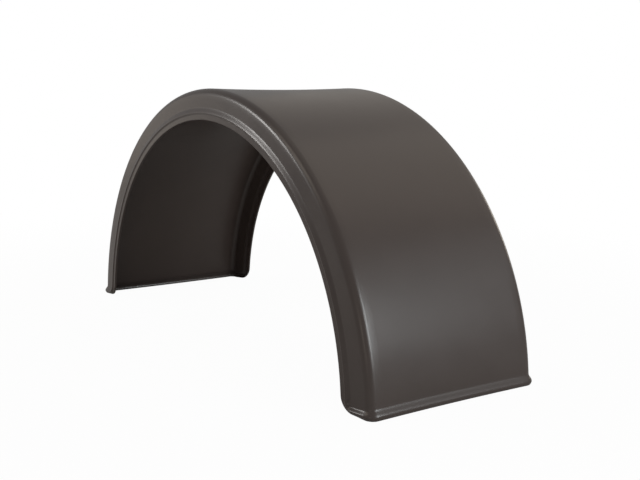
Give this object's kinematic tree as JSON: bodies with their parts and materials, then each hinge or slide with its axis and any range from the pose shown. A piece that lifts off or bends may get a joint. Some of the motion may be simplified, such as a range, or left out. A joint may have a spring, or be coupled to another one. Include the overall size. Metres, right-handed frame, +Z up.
{
  "type": "trailer mudguard",
  "caption": "Half-round black plastic mudguard for a trailer wheel, with side flanges, rounded shoulders and a raised bead round its trimmed edge",
  "frame": {"origin": "midway between the two feet, on the plane they stand on, in the middle of the guard's width", "axes": "+X from the rear foot to the front foot, +Y across the guard away from the viewer, +Z up to the crown"},
  "size_m": [0.7374, 0.257, 0.344],
  "materials": {
    "black_plastic": "fine satin grain"
  },
  "bodies": {
    "root": {"mudguard": "black_plastic"}
  },
  "joints": []
}
